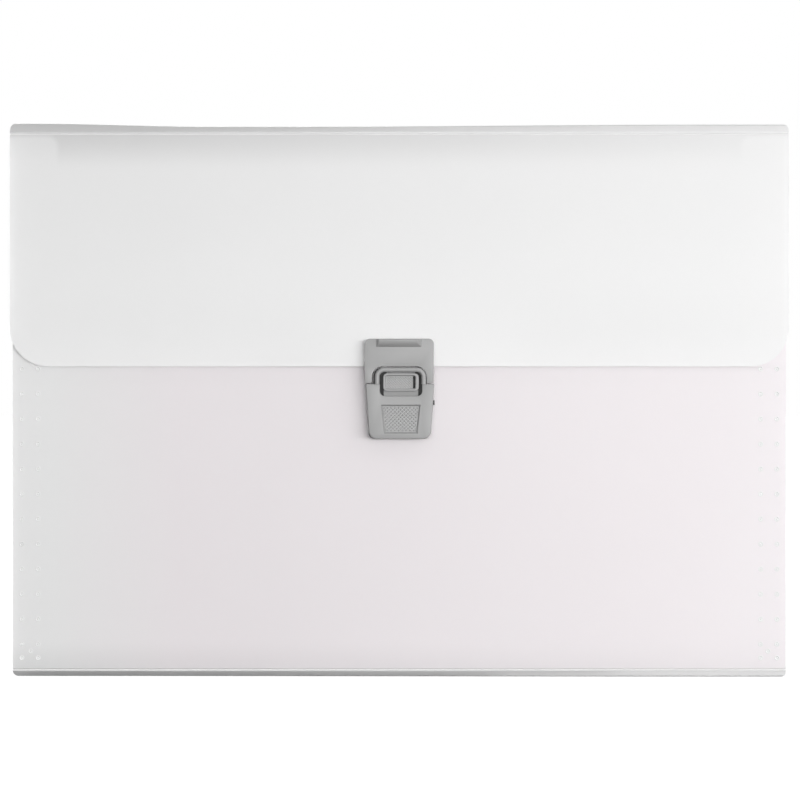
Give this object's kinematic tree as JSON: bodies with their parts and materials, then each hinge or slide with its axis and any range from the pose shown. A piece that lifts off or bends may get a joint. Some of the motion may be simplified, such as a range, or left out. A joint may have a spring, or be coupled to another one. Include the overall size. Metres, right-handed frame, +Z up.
{
  "type": "expanding file",
  "caption": "Expanding file with a fold-over flap, pleated side gussets, index dividers and a sliding-button clasp, shut and latched.",
  "frame": {"origin": "middle of the flat strip of the bottom spine that the file stands on", "axes": "+X along the width, to the right seen from the front; +Y from the front to the back; +Z up"},
  "size_m": [0.33, 0.0448, 0.235],
  "materials": {
    "cover": "frosted translucent polypropylene sheet, fine matt on both faces",
    "gusset": "frosted polypropylene film, scored and folded",
    "divider": "frosted polypropylene sheet, die cut",
    "clasp": "moulded grey ABS, fine satin, with diamond knurl in the inlay",
    "clasp_inner": "moulded grey ABS, plain satin"
  },
  "bodies": {
    "back_cover": {"back_panel": "cover", "bottom_spine": "cover", "left_gusset": "gusset", "right_gusset": "gusset"},
    "top_spine": {"top_spine": "cover"},
    "flap": {"flap": "cover", "catch_plate": "clasp", "catch_backing_plate": "clasp_inner"},
    "divider_1": {"divider_1": "divider"},
    "divider_2": {"divider_2": "divider"},
    "divider_3": {"divider_3": "divider"},
    "divider_4": {"divider_4": "divider"},
    "divider_5": {"divider_5": "divider"},
    "divider_6": {"divider_6": "divider"},
    "front_cover": {"front_panel": "cover", "latch_housing": "clasp", "latch_base": "clasp_inner", "latch_backing_plate": "clasp_inner", "latch_spring": "clasp_inner"},
    "latch_slider": {"latch_slider": "clasp"}
  },
  "joints": [
    {"name": "top_spine_fold", "type": "hinge", "parent": "back_cover", "child": "top_spine", "pos_m": [0, 0.0176, 0.2308], "axis": [-1, 0, 0], "range_deg": [0, 180]},
    {"name": "flap_fold", "type": "hinge", "parent": "top_spine", "child": "flap", "pos_m": [0, -0.0204, 0.2308], "axis": [-1, 0, 0], "range_deg": [0, 180]},
    {"name": "pocket_1_fan", "type": "hinge", "parent": "back_cover", "child": "divider_1", "pos_m": [0, -0.0176, 0.0028], "axis": [1, 0, 0], "range_deg": [0, 2.57], "deforming": ["left_gusset", "right_gusset"]},
    {"name": "pocket_2_fan", "type": "hinge", "parent": "divider_1", "child": "divider_2", "pos_m": [0, -0.0176, 0.0028], "axis": [1, 0, 0], "range_deg": [0, 2.57], "deforming": ["left_gusset", "right_gusset"]},
    {"name": "pocket_3_fan", "type": "hinge", "parent": "divider_2", "child": "divider_3", "pos_m": [0, -0.0176, 0.0028], "axis": [1, 0, 0], "range_deg": [0, 2.57], "deforming": ["left_gusset", "right_gusset"]},
    {"name": "pocket_4_fan", "type": "hinge", "parent": "divider_3", "child": "divider_4", "pos_m": [0, -0.0176, 0.0028], "axis": [1, 0, 0], "range_deg": [0, 2.57], "deforming": ["left_gusset", "right_gusset"]},
    {"name": "pocket_5_fan", "type": "hinge", "parent": "divider_4", "child": "divider_5", "pos_m": [0, -0.0176, 0.0028], "axis": [1, 0, 0], "range_deg": [0, 2.57], "deforming": ["left_gusset", "right_gusset"]},
    {"name": "pocket_6_fan", "type": "hinge", "parent": "divider_5", "child": "divider_6", "pos_m": [0, -0.0176, 0.0028], "axis": [1, 0, 0], "range_deg": [0, 2.57], "deforming": ["left_gusset", "right_gusset"]},
    {"name": "pocket_7_fan", "type": "hinge", "parent": "divider_6", "child": "front_cover", "pos_m": [0, -0.0176, 0.0028], "axis": [1, 0, 0], "range_deg": [0, 2.57], "deforming": ["left_gusset", "right_gusset"]},
    {"name": "button_slide", "type": "slide", "parent": "front_cover", "child": "latch_slider", "axis": [0, 0, -1], "range_m": [0, 0.0018], "stiffness_N_per_m": 800, "springref_m": -0.0004, "deforming": ["latch_spring"]}
  ],
  "couplings": [
    {"joint": "pocket_1_fan", "follows": "top_spine_fold", "ratio": 0.014285},
    {"joint": "pocket_2_fan", "follows": "top_spine_fold", "ratio": 0.014285},
    {"joint": "pocket_3_fan", "follows": "top_spine_fold", "ratio": 0.014285},
    {"joint": "pocket_4_fan", "follows": "top_spine_fold", "ratio": 0.014285},
    {"joint": "pocket_5_fan", "follows": "top_spine_fold", "ratio": 0.014285},
    {"joint": "pocket_6_fan", "follows": "top_spine_fold", "ratio": 0.014285},
    {"joint": "pocket_7_fan", "follows": "top_spine_fold", "ratio": 0.014285}
  ]
}
